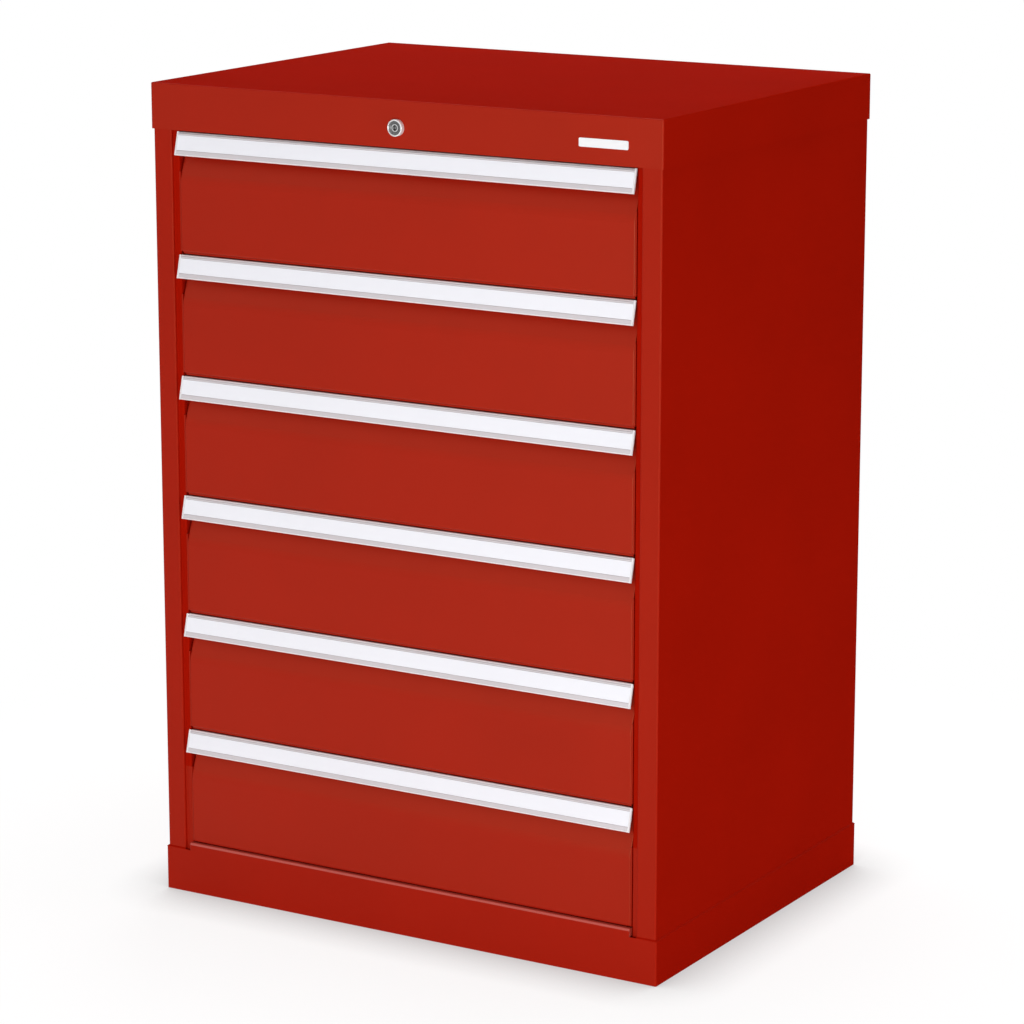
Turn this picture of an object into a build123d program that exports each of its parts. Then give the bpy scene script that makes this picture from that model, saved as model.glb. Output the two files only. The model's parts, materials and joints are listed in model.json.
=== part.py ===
"""Steel floor cabinet: six equal drawers on telescopic rails under a folded cover, with a central lock.

Units are millimetres, +Z is up, the front looks along -Y, and the origin is on the floor under the middle.
"""
import os
from math import hypot

from build123d import *

os.makedirs("parts", exist_ok=True)

# Overall sizes over the cover and the plinth
cabinet_width = 705.0
cabinet_depth = 530.0
drawer_count = 6
drawer_pitch = 150.0
cover_height = 56.0
plinth_height = 55.0

# Sheet metal
sheet = 1.5
inner_bend = 0.25
bend_radius = sheet + inner_bend
wrap_clearance = 0.5
panel_clearance = 0.3
cut_margin = 1.0

# Side panels with their front posts
post_width = 26.0
rebate_depth = 4.0
rebate_width = 8.0
post_return = 20.0
back_flange = 20.0

# Gaps round the drawer fronts
sill_rise = 8.0
sill_gap = 2.5
sill_depth = 17.5
sill_overlap = 15.0
front_gap = 3.0
cover_gap = 1.5
front_side_gap = 2.0
front_recess = 2.5

# Drawer fronts with the finger recess behind the handle
front_flange = 15.5
front_bend = 3.0
front_end_bend = 1.25
recess_depth = 11.0
recess_lower = 58.0
recess_upper = 28.0
recess_lower_bend = 30.0
recess_upper_bend = 10.0
top_flange = 4.5

# Handle strip, its label and its end caps
handle_sheet = 1.8
handle_drop = 0.3
handle_height = 28.0
handle_top_reach = 0.2
handle_slant = 7.2
handle_fixing = 15.0
lip_thickness = 1.0
lip_root = 1.0
lip_corner = 0.9
upper_lip = 4.4
lower_lip = 6.4
label_thickness = 0.8
label_clearance = 0.1
end_cap_length = 2.3
end_cap_depth = 1.2

# Trays
tray_sheet = 1.0
tray_floor_rise = 6.0
tray_height = 125.0
tray_depth = 438.0

# Telescopic rails, from the tray outwards
rail_space = 13.0
rail_wall_gap = 2.5
rail_web = 1.5
rail_flange = 2.0
rail_gap = 0.4
drawer_rail_half = 11.0
rail_height = 45.0
rail_length = 450.0
rail_setback = 28.0
drawer_rail_setback = 8.0
drawer_flange_width = 7.0
middle_web_start = 8.5
middle_flange_start = 3.5
middle_flange_width = 6.0
cabinet_flange_start = 4.0

# Uprights that carry the cabinet rails
upright_depth = 30.0
upright_front_setback = 53.0
upright_rear_setback = 63.0
slot_pitch = 25.0
slot_height = 12.0
slot_width = 4.0
slot_end = 20.0

# Top rail behind the cover's front
top_rail_setback = 1.0
top_rail_rise = 3.0

# Lock
lock_drop = 32.0
bezel_diameter = 20.0
bezel_height = 6.0
bezel_rim = 1.8
bezel_dish = 1.2
barrel_diameter = 16.0
barrel_length = 27.0
core_diameter = 11.0
core_tail = 2.0
lock_clearance = 0.3
keyway_width = 2.0
keyway_length = 7.0
keyway_depth = 4.0
nut_across = 22.0
nut_height = 5.0
nut_clearance = 0.1
cam_sheet = 5.0
cam_disc_radius = 18.0
lock_shift = 12.0
pin_diameter = 4.0
pin_slack = 0.8
slider_sheet = 3.0
slider_height = 20.0
slider_end = 6.0
bar_sheet = 3.0
bar_width = 14.0
bar_wall_gap = 2.0
hook_height = 16.0
hook_overlap = 1.0
catch_height = 20.0
catch_rise = 72.0
catch_sheet = 3.0
catch_slack = 5.0
catch_setback = 1.0
guide_rise = 120.0
guide_height = 12.0
guide_end = 2.0
guide_cheek = 4.0
slider_guide_wall = 3.0
slider_guide_length = 20.0

# Name plate
plate_width = 64.0
plate_height = 10.2
plate_sheet = 0.8
plate_corner = 1.5
plate_setback = 76.5

# Derived places
overhang = sheet + wrap_clearance
half_width = cabinet_width / 2
half_depth = cabinet_depth / 2
body_half = half_width - overhang
body_front = -(half_depth - overhang)
body_back = half_depth - overhang
drawers_bottom = plinth_height + sill_rise + sill_gap
drawers_top = drawers_bottom + drawer_count * drawer_pitch - front_gap
cover_bottom = drawers_top + cover_gap
cabinet_height = cover_bottom + cover_height
body_top = cabinet_height - sheet
wall_inside = body_half - sheet
post_inside = body_half - post_width
opening_half = post_inside - rebate_width
front_half = opening_half - front_side_gap
front_face = body_front + front_recess
front_height = drawer_pitch - front_gap
recess_face = front_face + recess_depth
rail_outside = opening_half - rail_wall_gap
tray_half = rail_outside - rail_space
tray_front = recess_face + sheet
tray_back = tray_front + tray_depth
middle_rail_half = drawer_rail_half + rail_gap + rail_flange
cabinet_rail_half = middle_rail_half + rail_gap + rail_flange
cabinet_rail_front = body_front + rail_setback
drawer_rail_front = tray_front + drawer_rail_setback
upright_front = body_front + upright_front_setback
upright_rear = body_back - upright_rear_setback - upright_depth
lock_z = cabinet_height - lock_drop
zone_bottoms = [drawers_bottom + (drawer_count - 1 - i) * drawer_pitch for i in range(drawer_count)]


def folded(points, thickness, side, bends=None):
    """Outline of a folded sheet: its outside runs through the points and its thickness lies to one side."""
    with BuildSketch() as outline:
        with BuildLine():
            FilletPolyline(*points, radius=bends or thickness + inner_bend)
            offset(amount=thickness, side=side)
        make_face()
    return outline.sketch


def keep(part, label):
    """Name a finished piece and write its file."""
    part.label = label
    export_step(part, f"parts/{label}.step")


# Side panels: one sheet each, folded into rear flange, wall, post, rebate and return
panel_points = [
    (body_half - back_flange, body_back),
    (body_half, body_back),
    (body_half, body_front),
    (post_inside, body_front),
    (post_inside, body_front + rebate_depth),
    (opening_half, body_front + rebate_depth),
    (opening_half, body_front + rebate_depth + post_return),
]
with BuildPart() as right_side_panel:
    with BuildSketch(Plane.XY.offset(sheet)):
        add(folded(panel_points, sheet, Side.RIGHT))
    extrude(amount=body_top - sheet)
keep(right_side_panel.part, "right_side_panel")

with BuildPart() as left_side_panel:
    with BuildSketch(Plane.XY.offset(sheet)):
        add(folded([(-x, y) for x, y in panel_points], sheet, Side.LEFT))
    extrude(amount=body_top - sheet)
keep(left_side_panel.part, "left_side_panel")

# Back panel inside the rear flanges
with BuildPart() as back_panel:
    with BuildSketch(Plane.XZ.offset(sheet - body_back)):
        with Locations((0, (sheet + body_top) / 2)):
            Rectangle(2 * (wall_inside - panel_clearance), body_top - sheet)
    extrude(amount=sheet)
keep(back_panel.part, "back_panel")

# Top cover: a pan over the body, with the hole for the lock in its front
with BuildPart() as top_cover:
    with BuildSketch(Plane.XY.offset(cover_bottom)):
        Rectangle(cabinet_width, cabinet_depth)
    extrude(amount=cover_height)
    fillet(top_cover.edges().filter_by(Axis.Z), bend_radius)
    fillet(top_cover.faces().sort_by(Axis.Z)[-1].edges(), bend_radius)
    offset(amount=-sheet, openings=top_cover.faces().sort_by(Axis.Z)[0])
    with BuildSketch(Plane.XZ.offset(half_depth + cut_margin)):
        with Locations((0, lock_z)):
            Circle(barrel_diameter / 2 + lock_clearance)
    extrude(amount=-(sheet + 2 * cut_margin), mode=Mode.SUBTRACT)
keep(top_cover.part, "top_cover")

# Base plinth: a pan that the body stands in, its front raised between the posts into a folded sill
sill_points = [
    (-half_depth, plinth_height - sill_overlap),
    (-half_depth, plinth_height + sill_rise),
    (sill_depth - half_depth, plinth_height + sill_rise),
]
with BuildPart() as base_plinth:
    with BuildSketch():
        Rectangle(cabinet_width, cabinet_depth)
    extrude(amount=plinth_height)
    fillet(base_plinth.edges().filter_by(Axis.Z), bend_radius)
    offset(amount=-sheet, openings=base_plinth.faces().sort_by(Axis.Z)[-1])
    with BuildSketch(Plane.YZ):
        add(folded(sill_points, sheet, Side.RIGHT))
    extrude(amount=opening_half - wrap_clearance, both=True)
keep(base_plinth.part, "base_plinth")

# Top rail: a channel between the posts behind the cover, which the lock passes through
rail_face = body_front + top_rail_setback
rail_depth = post_return
top_rail_points = [
    (rail_face + rail_depth, cover_bottom + top_rail_rise),
    (rail_face, cover_bottom + top_rail_rise),
    (rail_face, body_top),
    (rail_face + rail_depth, body_top),
]
with BuildPart() as top_rail:
    with BuildSketch(Plane.YZ):
        add(folded(top_rail_points, sheet, Side.RIGHT))
    extrude(amount=opening_half, both=True)
    with BuildSketch(Plane.XZ.offset(cut_margin - rail_face)):
        with Locations((0, lock_z)):
            Circle(barrel_diameter / 2 + lock_clearance)
    extrude(amount=-(sheet + 2 * cut_margin), mode=Mode.SUBTRACT)
keep(top_rail.part, "top_rail")

# Uprights: slotted hat strips on each side wall, one pair in front and one behind
upright_bottom = sheet
upright_top = cover_bottom
slot_count = int((upright_top - upright_bottom - 2 * slot_end) / slot_pitch)
for side_name, sign in (("left", -1), ("right", 1)):
    with BuildPart() as uprights:
        for start in (upright_front, upright_rear):
            hat = [
                (sign * wall_inside, start),
                (sign * rail_outside, start),
                (sign * rail_outside, start + upright_depth),
                (sign * wall_inside, start + upright_depth),
            ]
            with BuildSketch(Plane.XY.offset(upright_bottom)):
                add(folded(hat, sheet, Side.RIGHT if sign > 0 else Side.LEFT))
            extrude(amount=upright_top - upright_bottom)
        slot_places = [
            (start + upright_depth / 2, (upright_bottom + upright_top) / 2)
            for start in (upright_front, upright_rear)
        ]
        with BuildSketch(Plane.YZ.offset(sign * rail_outside - cut_margin - sheet)):
            with Locations(*slot_places):
                with GridLocations(slot_pitch, slot_pitch, 1, slot_count):
                    Rectangle(slot_width, slot_height)
        extrude(amount=2 * (cut_margin + sheet), mode=Mode.SUBTRACT)
    keep(uprights.part, f"{side_name}_uprights")

# Cabinet rails: channels on the uprights, one for each drawer and side
for side_name, sign in (("left", -1), ("right", 1)):
    with BuildPart() as cabinet_rails:
        for zone in zone_bottoms:
            web_x = sign * (rail_outside - rail_web / 2)
            flange_x = sign * (tray_half + cabinet_flange_start + rail_outside) / 2
            flange_z = cabinet_rail_half - rail_flange / 2
            with BuildSketch(Plane.XZ.offset(-cabinet_rail_front)):
                with Locations((web_x, zone + rail_height)):
                    Rectangle(rail_web, 2 * cabinet_rail_half)
                with Locations(
                    (flange_x, zone + rail_height + flange_z),
                    (flange_x, zone + rail_height - flange_z),
                ):
                    Rectangle(rail_outside - tray_half - cabinet_flange_start, rail_flange)
            extrude(amount=-rail_length)
    keep(cabinet_rails.part, f"{side_name}_cabinet_rails")

# Lock barrel: bezel in front of the cover, threaded barrel behind it, bore for the core
with BuildPart() as lock_barrel:
    with BuildSketch(Plane.XZ.offset(half_depth)):
        with Locations((0, lock_z)):
            Circle(bezel_diameter / 2)
    extrude(amount=bezel_height)
    with BuildSketch(Plane.XZ.offset(half_depth)):
        with Locations((0, lock_z)):
            Circle(barrel_diameter / 2)
    extrude(amount=-barrel_length)
    with BuildSketch(Plane.XZ.offset(half_depth + bezel_height)):
        with Locations((0, lock_z)):
            Circle(bezel_diameter / 2 - bezel_rim)
    extrude(amount=-bezel_dish, mode=Mode.SUBTRACT)
    with BuildSketch(Plane.XZ.offset(half_depth + bezel_height)):
        with Locations((0, lock_z)):
            Circle(core_diameter / 2 + lock_clearance)
    extrude(amount=-(bezel_height + barrel_length), mode=Mode.SUBTRACT)
keep(lock_barrel.part, "lock_barrel")

# Lock nut against the back of the top rail
with BuildPart() as lock_nut:
    with BuildSketch(Plane.XZ.offset(-(rail_face + sheet))):
        with Locations((0, lock_z)):
            RegularPolygon(nut_across / 2, 6, major_radius=False)
            Circle(barrel_diameter / 2 + nut_clearance, mode=Mode.SUBTRACT)
    extrude(amount=-nut_height)
keep(lock_nut.part, "lock_nut")

# Lock core with its keyway
core_front = -(half_depth + bezel_height - bezel_dish)
core_back = -half_depth + barrel_length + core_tail
with BuildPart() as lock_core:
    with BuildSketch(Plane.XZ.offset(-core_front)):
        with Locations((0, lock_z)):
            Circle(core_diameter / 2)
    extrude(amount=core_front - core_back)
    with BuildSketch(Plane.XZ.offset(-core_front)):
        with Locations((0, lock_z)):
            Rectangle(keyway_width, keyway_length)
    extrude(amount=-keyway_depth, mode=Mode.SUBTRACT)
keep(lock_core.part, "lock_core")

# Lock cam: a disc on the core's end whose pin crosses the slider
pin_offset = lock_shift / 2
pin_radius = hypot(pin_offset, pin_offset)
pin_x = -pin_offset
pin_z = lock_z + pin_offset
cam_back = core_back + cam_sheet
slider_front = cam_back + pin_slack
slider_back = slider_front + slider_sheet
bar_back = slider_back + bar_sheet
with BuildPart() as lock_cam:
    with BuildSketch(Plane.XZ.offset(-core_back)):
        with Locations((0, lock_z)):
            Circle(cam_disc_radius)
    extrude(amount=-cam_sheet)
    with BuildSketch(Plane.XZ.offset(-cam_back)):
        with Locations((pin_x, pin_z)):
            Circle(pin_diameter / 2)
    extrude(amount=-(slider_sheet + 2 * pin_slack))
keep(lock_cam.part, "lock_cam")

# Lock slider: a bar behind the cam, with an upright slot for the cam's pin, that carries the lock bar
bar_outside = wall_inside - bar_wall_gap
bar_inside = bar_outside - bar_width
slot_tall = pin_diameter + 2 * pin_slack + pin_radius - pin_offset
slider_z = lock_z + (pin_offset + pin_radius) / 2
slider_right = pin_x + pin_diameter + slider_end
with BuildPart() as lock_slider:
    with BuildSketch(Plane.XZ.offset(-slider_front)):
        with Locations(((slider_right - bar_outside) / 2, slider_z)):
            Rectangle(slider_right + bar_outside, slider_height)
        with Locations((pin_x, slider_z)):
            Rectangle(pin_diameter + 2 * pin_slack, slot_tall, mode=Mode.SUBTRACT)
    extrude(amount=-slider_sheet)
keep(lock_slider.part, "lock_slider")

# Lock bar: an upright bar behind the left post, on the slider's back, with one hook for each drawer
hook_end = opening_half + catch_setback
hook_start = bar_inside + hook_overlap
hook_middle_rise = catch_rise + catch_height / 2
bar_bottom = zone_bottoms[-1] + catch_rise - catch_height
bar_top = slider_z + slider_height / 2
with BuildPart() as lock_bar:
    with BuildSketch(Plane.XZ.offset(-slider_back)):
        with Locations((-(bar_inside + bar_outside) / 2, (bar_bottom + bar_top) / 2)):
            Rectangle(bar_width, bar_top - bar_bottom)
        hook_places = [(-(hook_end + hook_start) / 2, zone + hook_middle_rise) for zone in zone_bottoms]
        with Locations(*hook_places):
            Rectangle(hook_start - hook_end, hook_height)
    extrude(amount=-bar_sheet)
keep(lock_bar.part, "lock_bar")

# Lock guides: two blocks on the left wall for the bar and one under the cover for the slider
guide_inside = bar_inside - lock_shift - lock_clearance - guide_end
guide_zones = [zone_bottoms[1], zone_bottoms[-2]]
slider_guide_x = -opening_half / 2
rail_back = rail_face + rail_depth
slider_guide_bottom = slider_z - slider_height / 2 - slider_guide_wall
slider_guide_back = slider_back + slider_guide_wall
bar_middle_y = (slider_back + bar_back) / 2
with BuildPart() as lock_guides:
    for zone in guide_zones:
        with BuildSketch(Plane.XY.offset(zone + guide_rise)):
            with Locations((-(wall_inside + guide_inside) / 2, bar_middle_y)):
                Rectangle(wall_inside - guide_inside, bar_sheet + 2 * guide_cheek)
            with Locations((-(bar_outside + bar_inside - lock_shift) / 2, bar_middle_y)):
                Rectangle(
                    bar_width + lock_shift + 2 * lock_clearance,
                    bar_sheet + 2 * lock_clearance,
                    mode=Mode.SUBTRACT,
                )
        extrude(amount=guide_height)
    with BuildSketch(Plane.YZ.offset(slider_guide_x)):
        with Locations(((rail_back + slider_guide_back) / 2, (slider_guide_bottom + body_top) / 2)):
            Rectangle(slider_guide_back - rail_back, body_top - slider_guide_bottom)
        with Locations(((slider_front + slider_back) / 2, slider_z)):
            Rectangle(
                slider_sheet + 2 * lock_clearance, slider_height + 2 * lock_clearance, mode=Mode.SUBTRACT
            )
    extrude(amount=slider_guide_length)
keep(lock_guides.part, "lock_guides")

# Name plate, blank, near the right end of the cover's front
plate_centre = half_width - plate_setback
with BuildPart() as name_plate:
    with BuildSketch(Plane.XZ.offset(half_depth)):
        with Locations((plate_centre, lock_z)):
            RectangleRounded(plate_width, plate_height, plate_corner)
    extrude(amount=plate_sheet)
keep(name_plate.part, "name_plate")

# Handle section, the same for every drawer, measured along the slanted face and out from it
handle_top_y = front_face - handle_top_reach
face_length = hypot(handle_slant, handle_height)
face_down_y = -handle_slant / face_length
face_down_z = -handle_height / face_length
face_out_y = face_down_z
face_out_z = -face_down_y


def on_face(front_top, along, out):
    """Point of the handle section: so far down the slanted face and so far out of it."""
    top_z = front_top - handle_drop
    return (
        handle_top_y + along * face_down_y + out * face_out_y,
        top_z + along * face_down_z + out * face_out_z,
    )


def strip(front_top, start, end, low, high):
    """Four-sided piece of the handle section between two distances along the face."""
    return [
        on_face(front_top, start, low),
        on_face(front_top, end, low),
        on_face(front_top, end, high),
        on_face(front_top, start, high),
    ]


# Drawers, numbered from the top
for number, zone in enumerate(zone_bottoms, start=1):
    name = f"drawer_{number}"
    front_top = zone + front_height
    rail_z = zone + rail_height

    # Front: a folded panel with a slanted finger recess, closed at its ends by flanges
    front_points = [
        (front_face + front_flange, zone),
        (front_face, zone),
        (front_face, front_top - recess_lower),
        (recess_face, front_top - recess_upper),
        (recess_face, front_top),
        (recess_face + top_flange, front_top),
    ]
    front_bends = [front_bend, recess_lower_bend, recess_upper_bend, bend_radius]
    with BuildPart() as front:
        with BuildSketch(Plane.YZ):
            add(folded(front_points, sheet, Side.RIGHT, front_bends))
        extrude(amount=front_half, both=True)
        for end in (-front_half, front_half - sheet):
            with BuildSketch(Plane.YZ.offset(end)):
                with BuildLine():
                    Polyline(
                        (front_face + front_flange, zone + sheet / 2),
                        (front_face + front_bend, zone + sheet / 2),
                        (front_face + sheet / 2, zone + front_bend),
                        (front_face + sheet / 2, front_top - recess_lower),
                        (recess_face + sheet / 2, front_top - recess_upper),
                        (recess_face + sheet / 2, front_top - sheet / 2),
                        (front_face + front_flange, front_top - sheet / 2),
                        close=True,
                    )
                make_face()
            extrude(amount=sheet)
        upright_edges = front.edges().filter_by(Axis.Z)
        fillet(upright_edges.filter_by_position(Axis.Y, front_face, front_face + inner_bend), front_end_bend)
    keep(front.part, f"{name}_front")

    # Handle: fixing flange, top web and slanted face with two lips that hold the label
    handle_points = [
        (recess_face, front_top - handle_drop - handle_fixing),
        (recess_face, front_top - handle_drop),
        on_face(front_top, 0, 0),
        on_face(front_top, face_length, 0),
    ]
    with BuildPart() as handle:
        with BuildSketch(Plane.YZ):
            add(folded(handle_points, handle_sheet, Side.LEFT))
            with BuildLine():
                FilletPolyline(
                    *strip(front_top, handle_sheet, upper_lip, -lip_root, lip_thickness),
                    radius=lip_corner,
                    close=True,
                )
            make_face()
            with BuildLine():
                FilletPolyline(
                    *strip(front_top, face_length - lower_lip, face_length, -lip_root, lip_thickness),
                    radius=lip_corner,
                    close=True,
                )
            make_face()
        extrude(amount=front_half, both=True)
    keep(handle.part, f"{name}_handle")

    # Label strip between the lips
    with BuildPart() as label:
        with BuildSketch(Plane.YZ):
            with BuildLine():
                Polyline(
                    *strip(
                        front_top,
                        upper_lip + label_clearance,
                        face_length - lower_lip - label_clearance,
                        0,
                        label_thickness,
                    ),
                    close=True,
                )
            make_face()
        extrude(amount=front_half, both=True)
    keep(label.part, f"{name}_label")

    # End caps over both ends of the slanted face
    with BuildPart() as end_caps:
        for end in (-front_half - end_cap_length, front_half):
            with BuildSketch(Plane.YZ.offset(end)):
                with BuildLine():
                    Polyline(*strip(front_top, 0, face_length, -end_cap_depth, lip_thickness), close=True)
                make_face()
            extrude(amount=end_cap_length)
    keep(end_caps.part, f"{name}_end_caps")

    # Tray with the catch for the lock bar on its left side
    tray_bottom = zone + tray_floor_rise
    tray_middle_y = (tray_front + tray_back) / 2
    with BuildPart() as tray:
        with BuildSketch(Plane.XY.offset(tray_bottom)):
            with Locations((0, tray_middle_y)):
                Rectangle(2 * tray_half, tray_depth)
        extrude(amount=tray_height)
        with BuildSketch(Plane.XY.offset(tray_bottom + tray_sheet)):
            with Locations((0, tray_middle_y)):
                Rectangle(2 * (tray_half - tray_sheet), tray_depth - 2 * tray_sheet)
        extrude(amount=tray_height, mode=Mode.SUBTRACT)
        catch_front = bar_back + catch_slack
        catch_length = rail_space - catch_setback
        with BuildSketch(Plane.XY.offset(zone + catch_rise)):
            with Locations((-(tray_half + catch_length / 2), catch_front + catch_sheet / 2)):
                Rectangle(catch_length, catch_sheet)
        extrude(amount=catch_height)
    keep(tray.part, f"{name}_tray")

    # Drawer rails: channels on the tray's sides that open outwards
    with BuildPart() as drawer_rails:
        with BuildSketch(Plane.XZ.offset(-drawer_rail_front)):
            for sign in (-1, 1):
                with Locations((sign * (tray_half + rail_web / 2), rail_z)):
                    Rectangle(rail_web, 2 * drawer_rail_half)
                flange_x = sign * (tray_half + drawer_flange_width / 2)
                flange_z = drawer_rail_half - rail_web / 2
                with Locations((flange_x, rail_z + flange_z), (flange_x, rail_z - flange_z)):
                    Rectangle(drawer_flange_width, rail_web)
        extrude(amount=drawer_rail_front - tray_back)
    keep(drawer_rails.part, f"{name}_rails")

    # Middle rails: channels between the drawer rails and the cabinet rails
    with BuildPart() as middle_rails:
        with BuildSketch(Plane.XZ.offset(-cabinet_rail_front)):
            for sign in (-1, 1):
                with Locations((sign * (tray_half + middle_web_start + rail_web / 2), rail_z)):
                    Rectangle(rail_web, 2 * middle_rail_half)
                flange_x = sign * (tray_half + middle_flange_start + middle_flange_width / 2)
                flange_z = middle_rail_half - rail_flange / 2
                with Locations((flange_x, rail_z + flange_z), (flange_x, rail_z - flange_z)):
                    Rectangle(middle_flange_width, rail_flange)
        extrude(amount=-rail_length)
    keep(middle_rails.part, f"{name}_middle_rails")
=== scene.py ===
# %% [markdown]
# A floor-standing steel cabinet with six drawers.
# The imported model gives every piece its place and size, so this lesson only dresses it:
# camera and light first, then the finishes, then the pieces whose shape needs finer work than
# the solids have.

# %% Load the frame
import json
import math

import bmesh
import bpy
from mathutils import Matrix, Vector


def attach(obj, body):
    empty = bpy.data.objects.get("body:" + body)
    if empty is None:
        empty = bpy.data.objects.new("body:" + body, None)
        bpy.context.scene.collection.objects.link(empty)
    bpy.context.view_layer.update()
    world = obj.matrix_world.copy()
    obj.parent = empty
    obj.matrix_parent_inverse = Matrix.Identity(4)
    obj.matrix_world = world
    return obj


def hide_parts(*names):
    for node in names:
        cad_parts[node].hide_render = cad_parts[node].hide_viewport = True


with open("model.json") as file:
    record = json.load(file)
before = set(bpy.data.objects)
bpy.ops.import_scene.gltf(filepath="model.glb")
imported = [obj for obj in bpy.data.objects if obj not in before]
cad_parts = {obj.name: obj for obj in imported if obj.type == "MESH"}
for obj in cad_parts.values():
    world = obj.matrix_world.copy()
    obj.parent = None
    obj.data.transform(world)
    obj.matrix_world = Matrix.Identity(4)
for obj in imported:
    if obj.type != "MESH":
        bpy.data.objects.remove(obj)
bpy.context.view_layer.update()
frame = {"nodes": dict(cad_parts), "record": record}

nodes = frame["nodes"]
scene = bpy.context.scene
scene.view_settings.view_transform = "Standard"

# %% [markdown]
# The camera stands at the front right, above the cabinet, far away with a long lens, as for a catalogue.
# Its place could be typed in as three coordinates. An azimuth, an elevation and a distance are used instead,
# so each number can be compared with the photograph by itself.

# %% Camera
azimuth = math.radians(30.962)
elevation = math.radians(13.089)
camera_distance = 4.7151
camera_slide = 0.00282
camera_rise = 0.03157
aim_height = 0.5095
sensor_width_mm = 36.0
lens_mm = 132.83
view_end = 50.0

away = Vector((
    math.sin(azimuth) * math.cos(elevation),
    -math.cos(azimuth) * math.cos(elevation),
    math.sin(elevation),
))
rightwards = Vector((math.cos(azimuth), math.sin(azimuth), 0.0))
upwards = away.cross(rightwards)
camera_data = bpy.data.cameras.new("camera")
camera_data.sensor_width = sensor_width_mm
camera_data.lens = lens_mm
camera_data.clip_end = view_end
camera = bpy.data.objects.new("camera", camera_data)
scene.collection.objects.link(camera)
camera_place = Vector((0.0, 0.0, aim_height)) + away * camera_distance
camera_place = camera_place - rightwards * camera_slide - upwards * camera_rise
camera_turn = Matrix((rightwards, upwards, away)).transposed()
camera.matrix_world = Matrix.Translation(camera_place) @ camera_turn.to_4x4()
scene.camera = camera
print("camera at", [round(v, 3) for v in camera_place])

# %% [markdown]
# The cabinet stands in a bright studio, whose light is strong in front and weak behind and overhead.
# A picture of a room could give that light, but a plain gradient is easier to steer and needs no file.
# Seen directly, mirrored or through glass the room is plain white, so a low view has a white background too.


# %% Seen rays
def joined(tree, first, second, operation):
    """Two masks or values joined by a difference, a product or the larger of both."""
    join = tree.nodes.new("ShaderNodeMath")
    join.operation = operation
    tree.links.new(first, join.inputs[0])
    tree.links.new(second, join.inputs[1])
    return join.outputs[0]


def seen_rays(tree):
    """One for rays that are seen directly, mirrored or through glass, nought for light between surfaces."""
    rays = tree.nodes.new("ShaderNodeLightPath").outputs
    mirrored = joined(tree, rays["Is Camera Ray"], rays["Is Glossy Ray"], "MAXIMUM")
    return joined(tree, mirrored, rays["Is Transmission Ray"], "MAXIMUM")


# %% World
room_bright = 0.95
room_dim = 0.18
room_white = 1.0
overhead_share = 0.6
bright_end = -1.0
dim_end = 0.75

world = bpy.data.worlds.new("studio")
scene.world = world
world.use_nodes = True
room = world.node_tree
room.nodes.clear()
room_out = room.nodes.new("ShaderNodeOutputWorld")
room_light = room.nodes.new("ShaderNodeBackground")
room_way = room.nodes.new("ShaderNodeTexCoord")
room_parts = room.nodes.new("ShaderNodeSeparateXYZ")
room_lean = room.nodes.new("ShaderNodeMath")
room_lean.operation = "MULTIPLY_ADD"
room_lean.inputs[1].default_value = overhead_share
room_level = room.nodes.new("ShaderNodeMapRange")
room_level.inputs["From Min"].default_value = bright_end
room_level.inputs["From Max"].default_value = dim_end
room_level.inputs["To Min"].default_value = room_bright
room_level.inputs["To Max"].default_value = room_dim
room_seen = room.nodes.new("ShaderNodeBackground")
room_seen.inputs["Color"].default_value = (1.0, 1.0, 1.0, 1.0)
room_seen.inputs["Strength"].default_value = room_white
room_mix = room.nodes.new("ShaderNodeMixShader")
room.links.new(room_way.outputs["Generated"], room_parts.inputs[0])
room.links.new(room_parts.outputs["Z"], room_lean.inputs[0])
room.links.new(room_parts.outputs["Y"], room_lean.inputs[2])
room.links.new(room_lean.outputs[0], room_level.inputs["Value"])
room.links.new(room_level.outputs["Result"], room_light.inputs["Strength"])
room.links.new(seen_rays(room), room_mix.inputs["Fac"])
room.links.new(room_light.outputs[0], room_mix.inputs[1])
room.links.new(room_seen.outputs[0], room_mix.inputs[2])
room.links.new(room_mix.outputs[0], room_out.inputs["Surface"])
print("room light:", room_bright, "in front,", room_dim, "behind")

# %% [markdown]
# Three soft lamps stand in front, overhead and low on the right. A fourth one behind the cabinet lights
# its back, and is hidden from the camera and from mirrors.
# Area lamps are chosen, because their wide faces leave the soft shadows of a studio.


# %% Lamps
def soft_lamp(name, place, aim, width, height, power):
    """A large rectangular lamp at a place, turned towards a point."""
    data = bpy.data.lights.new(name, "AREA")
    data.shape = "RECTANGLE"
    data.size = width
    data.size_y = height
    data.energy = power
    lamp = bpy.data.objects.new(name, data)
    scene.collection.objects.link(lamp)
    lamp.location = place
    turn = (Vector(aim) - Vector(place)).to_track_quat("-Z", "Y")
    lamp.rotation_euler = turn.to_euler()
    return lamp


soft_lamp("front_lamp", place=(0.9, -3.1, 0.55), aim=(0.1, 0.0, 0.3), width=2.4, height=1.1, power=46.0)
soft_lamp("top_lamp", place=(0.0, 0.5, 3.4), aim=(0.0, 0.1, 1.0), width=2.0, height=1.2, power=42.0)
soft_lamp("right_lamp", place=(3.0, -0.5, 0.22), aim=(0.3, 0.0, 0.0), width=1.6, height=0.4, power=20.0)
back_lamp = soft_lamp(
    "back_lamp", place=(-1.2, 3.0, 0.75), aim=(0.0, 0.0, 0.5), width=2.0, height=1.2, power=46.0
)
back_lamp.visible_camera = False
back_lamp.visible_glossy = False
print("lamps:", len(bpy.data.lights))

# %% [markdown]
# The floor is a white sheet that keeps the soft shadow under the cabinet: partly cast by the lamps, partly
# painted shadow.
# Seen directly or mirrored it is nearly white by itself, but the light that it throws back comes from
# its paper alone. Far from the cabinet it fades into plain white, so no horizon line shows.

# %% Floor
floor_half = 20.0
floor_drop = 0.0004

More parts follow.
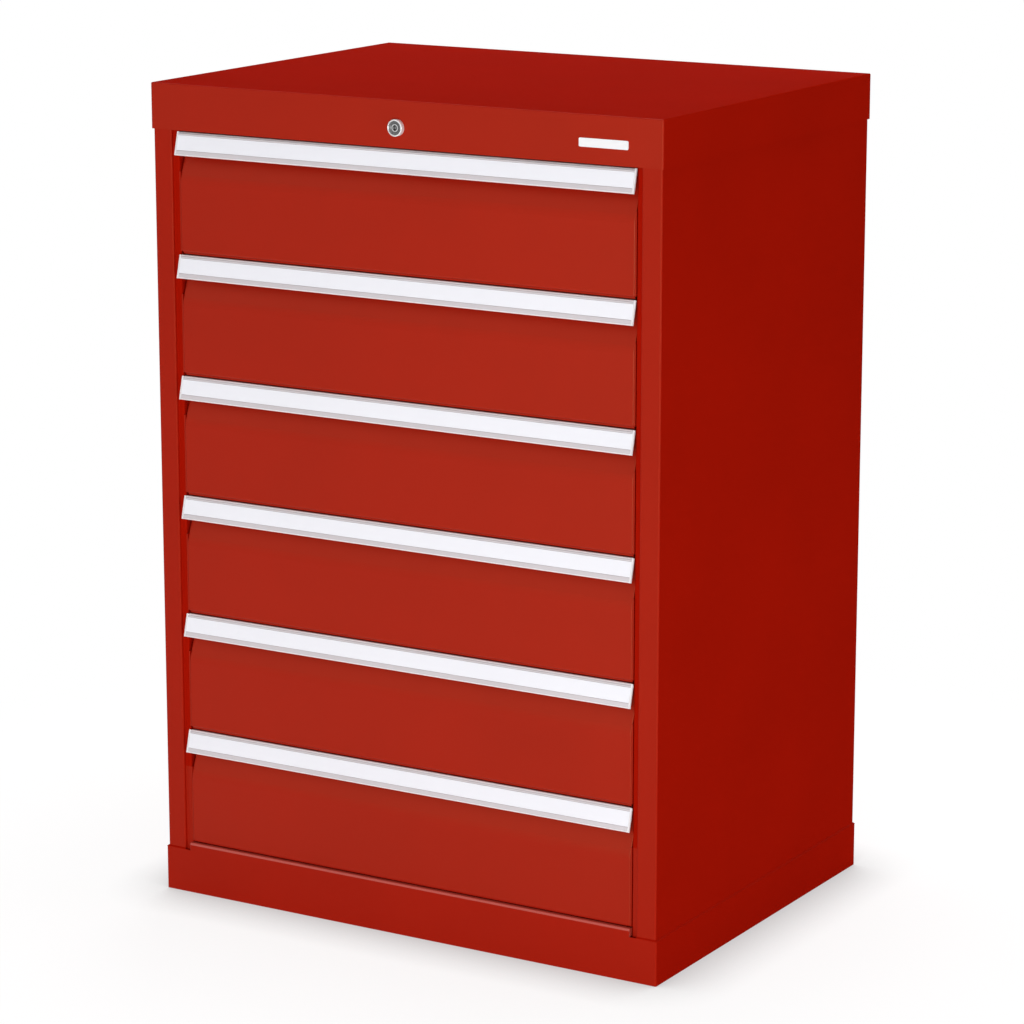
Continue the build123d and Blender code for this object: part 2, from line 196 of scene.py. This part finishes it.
floor_mesh = bpy.data.meshes.new("floor")
floor_bm = bmesh.new()
bmesh.ops.create_grid(floor_bm, x_segments=1, y_segments=1, size=floor_half)
floor_bm.to_mesh(floor_mesh)
floor_bm.free()
floor = bpy.data.objects.new("floor", floor_mesh)
scene.collection.objects.link(floor)
floor.location = (0.0, 0.0, -floor_drop)
print("floor reaches", floor_half, "m each way")

# %% Floor finish
paper_white = 0.90
seen_paper = 0.24
seen_lift = 0.84
contact_lift = 0.50
contact_reach = 0.09
contact_full = 0.5
fade_start = 0.55
fade_end = 1.1

floor_finish = bpy.data.materials.new("white_floor")
floor_finish.use_nodes = True
floor_tree = floor_finish.node_tree
floor_tree.nodes.clear()
floor_out = floor_tree.nodes.new("ShaderNodeOutputMaterial")
floor_paper = floor_tree.nodes.new("ShaderNodeBsdfDiffuse")
floor_paper.inputs["Color"].default_value = (paper_white, paper_white, paper_white, 1.0)
floor_shade = floor_tree.nodes.new("ShaderNodeBsdfDiffuse")
floor_shade.inputs["Color"].default_value = (seen_paper, seen_paper, seen_paper, 1.0)
floor_lift = floor_tree.nodes.new("ShaderNodeEmission")
# Painted shadow: an occlusion test dims the floor's own glow near the cabinet.
floor_painted_shadow = floor_tree.nodes.new("ShaderNodeAmbientOcclusion")
floor_painted_shadow.inputs["Distance"].default_value = contact_reach
floor_level = floor_tree.nodes.new("ShaderNodeMapRange")
floor_level.inputs["From Min"].default_value = contact_full
floor_level.inputs["To Min"].default_value = contact_lift
floor_level.inputs["To Max"].default_value = seen_lift
floor_near = floor_tree.nodes.new("ShaderNodeAddShader")
floor_white = floor_tree.nodes.new("ShaderNodeEmission")
floor_white.inputs["Strength"].default_value = room_white
floor_where = floor_tree.nodes.new("ShaderNodeTexCoord")
floor_reach = floor_tree.nodes.new("ShaderNodeVectorMath")
floor_reach.operation = "LENGTH"
floor_range = floor_tree.nodes.new("ShaderNodeMapRange")
floor_range.inputs["From Min"].default_value = fade_start
floor_range.inputs["From Max"].default_value = fade_end
floor_fade = floor_tree.nodes.new("ShaderNodeMixShader")
floor_mix = floor_tree.nodes.new("ShaderNodeMixShader")
floor_tree.links.new(floor_painted_shadow.outputs["AO"], floor_level.inputs["Value"])
floor_tree.links.new(floor_level.outputs["Result"], floor_lift.inputs["Strength"])
floor_tree.links.new(floor_shade.outputs[0], floor_near.inputs[0])
floor_tree.links.new(floor_lift.outputs[0], floor_near.inputs[1])
floor_tree.links.new(floor_where.outputs["Object"], floor_reach.inputs[0])
floor_tree.links.new(floor_reach.outputs["Value"], floor_range.inputs["Value"])
floor_tree.links.new(floor_range.outputs["Result"], floor_fade.inputs["Fac"])
floor_tree.links.new(floor_near.outputs[0], floor_fade.inputs[1])
floor_tree.links.new(floor_white.outputs[0], floor_fade.inputs[2])
floor_tree.links.new(seen_rays(floor_tree), floor_mix.inputs["Fac"])
floor_tree.links.new(floor_paper.outputs[0], floor_mix.inputs[1])
floor_tree.links.new(floor_fade.outputs[0], floor_mix.inputs[2])
floor_tree.links.new(floor_mix.outputs[0], floor_out.inputs["Surface"])
floor.data.materials.append(floor_finish)
print("floor fades to white from", fade_start, "to", fade_end, "m")

# %% [markdown]
# Paint, plastic and metal are never one even colour. A picture of each could be wrapped round the pieces,
# but noise needs no unwrapping and has no seams. So every finish is a Principled shader with two layers
# of noise on Object coordinates: a broad one that shifts the colour a little, and a fine one for the grain.

# %% Finish helper
drift_scale = 6.0
drift_detail = 3.0
drift_dark_end = 0.3
drift_light_end = 0.7
grain_detail = 2.0
grain_strength = 0.35
roughness_spread = 0.05
smoothest = 0.02


def finish(name, colour, roughness, specular, metal=0.0, tint=0.04, grain=700.0, depth=0.00004, stretch=1.0):
    """A painted, plastic or metal finish with slight colour drift and a fine surface grain."""
    material = bpy.data.materials.new(name)
    material.use_nodes = True
    tree = material.node_tree
    shader = tree.nodes["Principled BSDF"]
    shader.inputs["Metallic"].default_value = metal
    shader.inputs["Specular IOR Level"].default_value = specular
    where = tree.nodes.new("ShaderNodeTexCoord")
    drift = tree.nodes.new("ShaderNodeTexNoise")
    drift.inputs["Scale"].default_value = drift_scale
    drift.inputs["Detail"].default_value = drift_detail
    ramp = tree.nodes.new("ShaderNodeValToRGB")
    dark = tuple(c * (1.0 - tint) for c in colour)
    light = tuple(min(1.0, c * (1.0 + tint)) for c in colour)
    ramp.color_ramp.elements[0].position = drift_dark_end
    ramp.color_ramp.elements[0].color = (*dark, 1.0)
    ramp.color_ramp.elements[1].position = drift_light_end
    ramp.color_ramp.elements[1].color = (*light, 1.0)
    lengthwise = tree.nodes.new("ShaderNodeMapping")
    lengthwise.inputs["Scale"].default_value = (stretch, 1.0, 1.0)
    fine = tree.nodes.new("ShaderNodeTexNoise")
    fine.inputs["Scale"].default_value = grain
    fine.inputs["Detail"].default_value = grain_detail
    rough = tree.nodes.new("ShaderNodeMapRange")
    rough.inputs["To Min"].default_value = max(smoothest, roughness - roughness_spread)
    rough.inputs["To Max"].default_value = min(1.0, roughness + roughness_spread)
    bump = tree.nodes.new("ShaderNodeBump")
    bump.inputs["Strength"].default_value = grain_strength
    bump.inputs["Distance"].default_value = depth
    tree.links.new(where.outputs["Object"], drift.inputs["Vector"])
    tree.links.new(where.outputs["Object"], lengthwise.inputs["Vector"])
    tree.links.new(lengthwise.outputs["Vector"], fine.inputs["Vector"])
    tree.links.new(drift.outputs["Fac"], ramp.inputs["Fac"])
    tree.links.new(ramp.outputs["Color"], shader.inputs["Base Color"])
    tree.links.new(fine.outputs["Fac"], rough.inputs["Value"])
    tree.links.new(rough.outputs["Result"], shader.inputs["Roughness"])
    tree.links.new(fine.outputs["Fac"], bump.inputs["Height"])
    tree.links.new(bump.outputs["Normal"], shader.inputs["Normal"])
    return material


# %% [markdown]
# The red powder coat is chalky on the sides and the top, satin on faces turned to the front or the back,
# and brighter where a sheet bends. Faces could get materials one by one, but each sheet is a single piece,
# so the gloss follows the front-to-back share of the face's own direction, on a ramp of grey levels.
# It starts beyond a line near the front and the back, which keeps it off the folds further in.
# On the side panels a second line brings it to the rebate beside the lowest front.


# %% Zone helpers
def compared(tree, value, operation, limit):
    """One where the value is above or below the limit, nought elsewhere."""
    test = tree.nodes.new("ShaderNodeMath")
    test.operation = operation
    test.inputs[1].default_value = limit
    tree.links.new(value, test.inputs[0])
    return test.outputs[0]


def unsigned(tree, value):
    """The value without its sign."""
    size = tree.nodes.new("ShaderNodeMath")
    size.operation = "ABSOLUTE"
    tree.links.new(value, size.inputs[0])
    return size.outputs[0]


def grey_ramp(tree, value, stops):
    """Grey levels along a value, from pairs of a position and a level in rising order."""
    ramp = tree.nodes.new("ShaderNodeValToRGB")
    elements = ramp.color_ramp.elements
    for index in (0, -1):
        position, level = stops[index]
        elements[index].position = position
        elements[index].color = (level, level, level, 1.0)
    for position, level in stops[1:-1]:
        between = elements.new(position)
        between.color = (level, level, level, 1.0)
    tree.links.new(value, ramp.inputs["Fac"])
    return ramp.outputs["Color"]


# %% Red paint
red_colour = (0.35, 0.0066, 0.0014)
red_roughness = 0.42
red_tint = 0.03
red_sheen = (1.0, 0.95, 0.5, 1.0)
edge_gloss = 0.38
other_gloss = 0.0001
turn_start = 0.15
bend_start = 0.45
bend_end = 0.85
turn_full = 0.99
drawers_bottom = 0.0655
lip_top = 0.098


def red_powder_coat(name, front_gloss, bend_gloss, gloss_line, rebate_line=None):
    """Red paint: glossy on bends, satin on front and back faces beyond the gloss line, chalky elsewhere."""
    material = finish(name, red_colour, red_roughness, other_gloss, tint=red_tint)
    tree = material.node_tree
    shader = tree.nodes["Principled BSDF"]
    shader.inputs["Specular Tint"].default_value = red_sheen
    where = tree.nodes.new("ShaderNodeTexCoord")
    facing = tree.nodes.new("ShaderNodeSeparateXYZ")
    place = tree.nodes.new("ShaderNodeSeparateXYZ")
    tree.links.new(where.outputs["Normal"], facing.inputs[0])
    tree.links.new(where.outputs["Object"], place.inputs[0])
    flat = front_gloss / edge_gloss
    bright = bend_gloss / edge_gloss
    turn_stops = ((turn_start, 0.0), (bend_start, bright), (bend_end, bright), (turn_full, flat))
    turned_out = grey_ramp(tree, unsigned(tree, facing.outputs["Y"]), turn_stops)
    off_middle = unsigned(tree, place.outputs["Y"])
    beyond_line = compared(tree, off_middle, "GREATER_THAN", gloss_line)
    if rebate_line:
        beside_front = compared(tree, place.outputs["Z"], "LESS_THAN", drawers_bottom + lip_top)
        on_rebate = compared(tree, off_middle, "GREATER_THAN", rebate_line)
        lowest_rebate = joined(tree, beside_front, on_rebate, "MULTIPLY")
        beyond_line = joined(tree, beyond_line, lowest_rebate, "MAXIMUM")
    gloss = tree.nodes.new("ShaderNodeMapRange")
    gloss.inputs["To Min"].default_value = other_gloss
    gloss.inputs["To Max"].default_value = edge_gloss
    tree.links.new(joined(tree, turned_out, beyond_line, "MULTIPLY"), gloss.inputs["Value"])
    tree.links.new(gloss.outputs["Result"], shader.inputs["Specular IOR Level"])
    return material


red_paint = red_powder_coat("red_powder_coat", front_gloss=0.22, bend_gloss=edge_gloss, gloss_line=0.240)
red_cover = red_powder_coat("red_cover_powder_coat", front_gloss=0.22, bend_gloss=0.10, gloss_line=0.240)
red_side = red_powder_coat(
    "red_side_powder_coat", front_gloss=0.16, bend_gloss=0.10, gloss_line=0.2615, rebate_line=0.2575
)
red_plinth = red_powder_coat("red_plinth_powder_coat", front_gloss=0.13, bend_gloss=0.08, gloss_line=0.240)
print("red paints:", [paint.name for paint in (red_paint, red_cover, red_side, red_plinth)])

# %% [markdown]
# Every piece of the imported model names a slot, such as aluminium or zinc steel.
# A table from slot to finish dresses all pieces in one loop, and only the large red sheets get paints
# of their own.

# %% Finishes
aluminium_colour = (0.62, 0.575, 0.595)

tray_paint = finish("grey_powder_coat", (0.52, 0.53, 0.54), roughness=0.45, specular=0.3, tint=0.02)
zinc_steel = finish(
    "zinc_plated_steel", (0.62, 0.63, 0.64), roughness=0.34, specular=0.5, metal=1.0, tint=0.08, grain=260.0
)
satin_aluminium = finish(
    "satin_aluminium", aluminium_colour, roughness=0.4, specular=0.4, metal=0.25, tint=0.03, stretch=0.03
)
label_white = finish("label_strip_white", (0.89, 0.89, 0.94), roughness=0.3, specular=0.35, tint=0.01)
cap_plastic = finish("end_cap_plastic", (0.80, 0.77, 0.78), roughness=0.4, specular=0.35, tint=0.02)
lock_metal = finish("bright_lock_metal", (0.62, 0.62, 0.63), roughness=0.22, specular=0.5, metal=1.0)
guide_plastic = finish("black_guide_plastic", (0.02, 0.02, 0.022), roughness=0.5, specular=0.4, tint=0.05)
plate_white = finish("blank_plate_white", (0.86, 0.86, 0.87), roughness=0.32, specular=0.35, tint=0.01)
by_slot = {
    "red_paint": red_paint,
    "tray_grey": tray_paint,
    "zinc_steel": zinc_steel,
    "aluminium": satin_aluminium,
    "label_white": label_white,
    "cap_plastic": cap_plastic,
    "lock_metal": lock_metal,
    "guide_plastic": guide_plastic,
    "white_plate": plate_white,
}
for part in frame["record"]["subparts"]:
    piece = nodes[part["node"]]
    piece.data.materials.clear()
    piece.data.materials.append(by_slot[part["material_slot"]])
for name in ("left_side_panel", "right_side_panel"):
    nodes[name].data.materials[0] = red_side
nodes["top_cover"].data.materials[0] = red_cover
nodes["base_plinth"].data.materials[0] = red_plinth
print("finishes:", len(by_slot))

# %% [markdown]
# A handle is an aluminium strip with a lip above and below its label, and a pale cap at each end.
# The lips' metal tone runs on over the inner part of the caps, the outer edges of the lips are painted
# lighter as a painted highlight, and the strip that fixes the handle is painted with the drawer front.
# All six handles are alike, so one finish serves them: its zones go by the height within one drawer.

# %% Second colours
drawer_pitch = 0.150


def height_in_drawer(tree):
    """A point's place, and its height above the bottom of the drawer that it belongs to."""
    where = tree.nodes.new("ShaderNodeTexCoord")
    place = tree.nodes.new("ShaderNodeSeparateXYZ")
    above = tree.nodes.new("ShaderNodeMath")
    above.operation = "SUBTRACT"
    above.inputs[1].default_value = drawers_bottom
    within = tree.nodes.new("ShaderNodeMath")
    within.operation = "MODULO"
    within.inputs[1].default_value = drawer_pitch
    tree.links.new(where.outputs["Object"], place.inputs[0])
    tree.links.new(place.outputs["Z"], above.inputs[0])
    tree.links.new(above.outputs[0], within.inputs[0])
    return place.outputs, within.outputs[0]


def second_colour(tree, mask, colour):
    """Lay a second colour over the finish's own where the mask is one."""
    shader = tree.nodes["Principled BSDF"]
    under = shader.inputs["Base Color"].links[0].from_socket
    mix = tree.nodes.new("ShaderNodeMix")
    mix.data_type = "RGBA"
    colours = [socket for socket in mix.inputs if socket.type == "RGBA"]
    colours[1].default_value = (*colour, 1.0)
    tree.links.new(mask, mix.inputs["Factor"])
    tree.links.new(under, colours[0])
    result = [socket for socket in mix.outputs if socket.type == "RGBA"][0]
    tree.links.new(result, shader.inputs["Base Color"])


# %% End caps of the handles
upper_lip_edge = 0.1424
lower_lip_edge = 0.1249
cap_line = 0.3141

cap_tree = cap_plastic.node_tree
cap_place, cap_height = height_in_drawer(cap_tree)
on_upper_lip = compared(cap_tree, cap_height, "GREATER_THAN", upper_lip_edge)
on_lower_lip = compared(cap_tree, cap_height, "LESS_THAN", lower_lip_edge)
on_lip = joined(cap_tree, on_upper_lip, on_lower_lip, "MAXIMUM")
on_inner_half = compared(cap_tree, unsigned(cap_tree, cap_place["X"]), "LESS_THAN", cap_line)
second_colour(cap_tree, joined(cap_tree, on_lip, on_inner_half, "MULTIPLY"), aluminium_colour)
print("cap finish nodes:", len(cap_tree.nodes))

# %% Painted highlight on the lip edges, and painted strip
handle_top = 0.1467
upper_highlight_edge = 0.1455
lower_highlight_edge = 0.1203
slant = 7.2 / 28.0
face_top = -0.2607
strip_depth = 0.0023
lip_highlight_colour = (0.80, 0.74, 0.75)
strip_colour = (0.30, 0.006, 0.0015)

metal_tree = satin_aluminium.node_tree
metal_place, metal_height = height_in_drawer(metal_tree)
face_place = metal_tree.nodes.new("ShaderNodeMath")
face_place.operation = "MULTIPLY_ADD"
face_place.inputs[1].default_value = slant
face_place.inputs[2].default_value = face_top - slant * handle_top
metal_tree.links.new(metal_height, face_place.inputs[0])
behind_face = joined(metal_tree, metal_place["Y"], face_place.outputs[0], "SUBTRACT")
on_upper_edge = compared(metal_tree, metal_height, "GREATER_THAN", upper_highlight_edge)
on_lower_edge = compared(metal_tree, metal_height, "LESS_THAN", lower_highlight_edge)
on_painted_highlight = joined(metal_tree, on_upper_edge, on_lower_edge, "MAXIMUM")
# The lighter colour on the outer edges of the lips is a painted highlight.
second_colour(metal_tree, on_painted_highlight, lip_highlight_colour)
on_strip = compared(metal_tree, behind_face, "GREATER_THAN", strip_depth)
second_colour(metal_tree, on_strip, strip_colour)
print("handle finish nodes:", len(metal_tree.nodes))

# %% [markdown]
# Thin trim closes slits that the real sheets hardly show. Each strip is a section extruded from place
# to place. At a corner the new end face is set on the mitre, so one helper makes straight strips and rims.

# %% Strip helpers
sharp_turn = math.radians(35.0)


def extruded(bm, places):
    """Extrude a section through a list of places, each a list of the section's corners."""
    end_face = bm.faces.new([bm.verts.new(corner) for corner in places[0]])
    for before, after in zip(places, places[1:]):
        grown = bmesh.ops.extrude_face_region(bm, geom=[end_face])["geom"]
        end_face = [item for item in grown if isinstance(item, bmesh.types.BMFace)][0]
        for vert in end_face.verts:
            gaps = [(vert.co - Vector(corner)).length for corner in before]
            vert.co = after[gaps.index(min(gaps))]


def dressed_piece(name, bm, body, material, rounded=False):
    """Make a piece of a closed mesh, ride it on its body and give it its slot and finish."""
    bmesh.ops.recalc_face_normals(bm, faces=bm.faces)
    for face in bm.faces:
        face.smooth = rounded
    mesh = bpy.data.meshes.new(name)
    bm.to_mesh(mesh)
    bm.free()
    if rounded:
        mesh.set_sharp_from_angle(angle=sharp_turn)
    piece = bpy.data.objects.new(name, mesh)
    scene.collection.objects.link(piece)
    mesh.materials.append(material)
    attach(piece, body)
    print(name, "faces:", len(mesh.polygons))
    return piece


# %% [markdown]
# The plinth's sill ends short of the posts. A rounded bead along its top edge reaches from post to post
# and catches the light under the lowest drawer. Its red is lighter than the body's, a painted highlight, and
# its gloss adds a real one.
# Its rounding is drawn in the section, so no bevel is needed.

# %% Sill bead
bead_half_length = 0.3163
bead_front = -0.2648
bead_back = -0.2585
bead_foot = 0.0552
bead_top = 0.0649
bead_radius = 0.0020
bead_steps = 6
# The bead's lighter red is a painted highlight along the sill's edge.
bead_highlight_colour = (0.46, 0.055, 0.036)

bead_section = [(bead_back, bead_foot), (bead_front, bead_foot)]
for step in range(bead_steps + 1):
    turn = math.radians(90.0) * step / bead_steps
    depth = bead_front + bead_radius * (1.0 - math.cos(turn))
    height = bead_top - bead_radius * (1.0 - math.sin(turn))
    bead_section.append((depth, height))
bead_section.append((bead_back, bead_top))
bead_places = []
for across in (-bead_half_length, bead_half_length):
    bead_places.append([(across, depth, height) for depth, height in bead_section])
bead_bm = bmesh.new()
extruded(bead_bm, bead_places)
bead_highlight_paint = finish("red_bead_painted_highlight_gloss", bead_highlight_colour, roughness=0.3, specular=0.6, tint=red_tint)
dressed_piece("sill_bead", bead_bm, "carcass", bead_highlight_paint, rounded=True)

# %% [markdown]
# The plinth's rim is rolled in against the body. The strip starts before the left post, goes round
# the left side, the back and the right side, and ends before the right post.

# %% Rolled rim of the plinth
rim_wall = (0.3505, 0.2630)
rim_edge = (0.3524, 0.2649)
rim_foot = 0.0550
rim_step = 0.0552
rim_top = 0.0568
post_inside = 0.3245
rim_gloss = 0.006
rim_route = (
    (-1, -1, True),
    (-1, -1, False),
    (-1, 1, False),
    (1, 1, False),
    (1, -1, False),
    (1, -1, True),
)

rim_places = []
for side_x, side_y, at_end in rim_route:
    wall_x = post_inside if at_end else rim_wall[0]
    edge_x = post_inside if at_end else rim_edge[0]
    wall = (side_x * wall_x, side_y * rim_wall[1])
    edge = (side_x * edge_x, side_y * rim_edge[1])
    rim_places.append([(*wall, rim_foot), (*edge, rim_foot), (*edge, rim_step), (*wall, rim_top)])
rim_bm = bmesh.new()
extruded(rim_bm, rim_places)
rim_paint = finish("red_rim_paint", red_colour, red_roughness, rim_gloss, tint=red_tint)
dressed_piece("plinth_rim", rim_bm, "carcass", rim_paint)

# %% [markdown]
# Each drawer front has a narrow lip along its lower sides, and all but the lowest have one under
# the bottom edge. They narrow the dark slits round the fronts. They ride on the drawers, so they stay clear
# of the body and of the drawer below.

# %% Lips of the drawer fronts
drawer_count = 6
lip_inside = 0.3146
lip_outside = 0.3162
lip_front = -0.2598
lip_back = -0.2560
lip_start = 0.0010
under_lip_half = 0.3135
under_lip_front = -0.2572
under_lip_drop = 0.0022
under_lip_rise = 0.0005
lip_section = (
    (lip_inside, lip_back),
    (lip_inside, lip_front),
    (lip_outside, lip_front),
    (lip_outside, lip_back),
)
under_lip_section = (
    (lip_back, -under_lip_drop),
    (under_lip_front, -under_lip_drop),
    (under_lip_front, under_lip_rise),
    (lip_back, under_lip_rise),
)

for number in range(1, drawer_count + 1):
    foot = drawers_bottom + (drawer_count - number) * drawer_pitch
    lip_bm = bmesh.new()
    for side in (-1, 1):
        lip_places = []
        for height in (foot + lip_start, foot + lip_top):
            lip_places.append([(side * across, depth, height) for across, depth in lip_section])
        extruded(lip_bm, lip_places)
    if number < drawer_count:
        lip_places = []
        for across in (-under_lip_half, under_lip_half):
            lip_places.append([(across, depth, foot + rise) for depth, rise in under_lip_section])
        extruded(lip_bm, lip_places)
    dressed_piece(f"drawer_{number}_lips", lip_bm, f"drawer_{number}", red_paint)

# %% [markdown]
# The lock is turned metal: its grooves are painted dark as painted shade, its rim and a ring of the core are
# painted bright as painted highlights. Its tone changes with the distance from the lock's axis, so a ramp
# along that distance draws the rings without any picture.

# %% Lock finish
lock_height = 0.988
lock_radius = 0.010
turned_colour = (0.5, 0.5, 0.5)
turned_grain = 2500.0
turned_depth = 0.00001
rim_start = 0.82
rim_full = 0.88
rim_metal = 0.3


def turned_metal(name, stops, roughness):
    """Metal turned about the lock's axis: its tone, painted shade and highlights from the stops, changes
    with the distance from the axis.
    """
    material = finish(
        name,
        turned_colour,
        roughness,
        specular=0.5,
        metal=1.0,
        tint=0.0,
        grain=turned_grain,
        depth=turned_depth,
    )
    tree = material.node_tree
    shader = tree.nodes["Principled BSDF"]
    where = tree.nodes.new("ShaderNodeTexCoord")
    from_axis = tree.nodes.new("ShaderNodeVectorMath")
    from_axis.operation = "SUBTRACT"
    from_axis.inputs[1].default_value = (0.0, 0.0, lock_height)
    flat = tree.nodes.new("ShaderNodeVectorMath")
    flat.operation = "MULTIPLY"
    flat.inputs[1].default_value = (1.0, 0.0, 1.0)
    radius = tree.nodes.new("ShaderNodeVectorMath")
    radius.operation = "LENGTH"
    share = tree.nodes.new("ShaderNodeMapRange")
    share.inputs["From Max"].default_value = lock_radius
    satin = tree.nodes.new("ShaderNodeMapRange")
    satin.inputs["From Min"].default_value = rim_start
    satin.inputs["From Max"].default_value = rim_full
    satin.inputs["To Min"].default_value = 1.0
    satin.inputs["To Max"].default_value = rim_metal
    tree.links.new(where.outputs["Object"], from_axis.inputs[0])
    tree.links.new(from_axis.outputs[0], flat.inputs[0])
    tree.links.new(flat.outputs[0], radius.inputs[0])
    tree.links.new(radius.outputs["Value"], share.inputs["Value"])
    tree.links.new(grey_ramp(tree, share.outputs["Result"], stops), shader.inputs["Base Color"])
    tree.links.new(share.outputs["Result"], satin.inputs["Value"])
    tree.links.new(satin.outputs["Result"], shader.inputs["Metallic"])
    return material


# Grey levels along the radius: the dark ones are painted shade in the grooves, the bright ones painted
# highlights.
ring_shade_and_highlight_stops = (
    (0.0, 0.1), (0.60, 0.10), (0.65, 0.28), (0.70, 0.16),
    (0.74, 0.26), (0.79, 0.14), (0.83, 0.6), (1.0, 0.82),
)
core_shade_and_highlight_stops = (
    (0.0, 0.55), (0.12, 0.5), (0.17, 0.10), (0.30, 0.12),
    (0.36, 0.55), (0.43, 0.5), (0.47, 0.12), (0.55, 0.2),
)
lock_ring_painted_light_metal = turned_metal("turned_lock_ring_painted_light", ring_shade_and_highlight_stops, roughness=0.24)
lock_core_painted_light_metal = turned_metal("turned_lock_core_painted_light", core_shade_and_highlight_stops, roughness=0.22)
nodes["lock_core"].data.materials.clear()
nodes["lock_core"].data.materials.append(lock_core_painted_light_metal)
print("lock finishes:", lock_ring_painted_light_metal.name, lock_core_painted_light_metal.name)

# %% [markdown]
# The lock's solid is a plain stepped barrel. Here its ring is spun from a finer section, in millimetres from
# the axis and out from the cover: a rolled rim, a dished face with turned grooves, and the barrel behind it.
# A spin is chosen, because the real ring is turned on a lathe in the same way.

# %% Lock ring
lock_seat = -0.265
lock_steps = 72
lock_section_mm = (
    (5.8, 2.0), (5.8, 4.6), (6.1, 4.8), (6.6, 4.8), (6.8, 4.55), (7.0, 4.8), (7.4, 4.8),
    (7.6, 4.55), (7.8, 4.8), (8.0, 4.8), (8.2, 5.0), (8.3, 5.7), (8.6, 5.95), (9.0, 6.0),
    (9.5, 5.9), (9.85, 5.55), (10.0, 5.0), (10.0, 0.0), (8.0, 0.0), (8.0, -27.0), (5.8, -27.0),
)

ring_bm = bmesh.new()
ring_points = []
for radius, stand in lock_section_mm:
    place = (radius / 1000.0, lock_seat - stand / 1000.0, lock_height)
    ring_points.append(ring_bm.verts.new(place))
ring_edges = []
for i, point in enumerate(ring_points):
    following = ring_points[(i + 1) % len(ring_points)]
    ring_edges.append(ring_bm.edges.new((point, following)))
bmesh.ops.spin(
    ring_bm,
    geom=ring_points + ring_edges,
    cent=(0.0, 0.0, lock_height),
    axis=(0.0, 1.0, 0.0),
    angle=math.tau,
    steps=lock_steps,
    use_merge=True,
)
lock_ring = dressed_piece("lock_ring", ring_bm, "carcass", lock_ring_painted_light_metal, rounded=True)
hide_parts("lock_barrel")
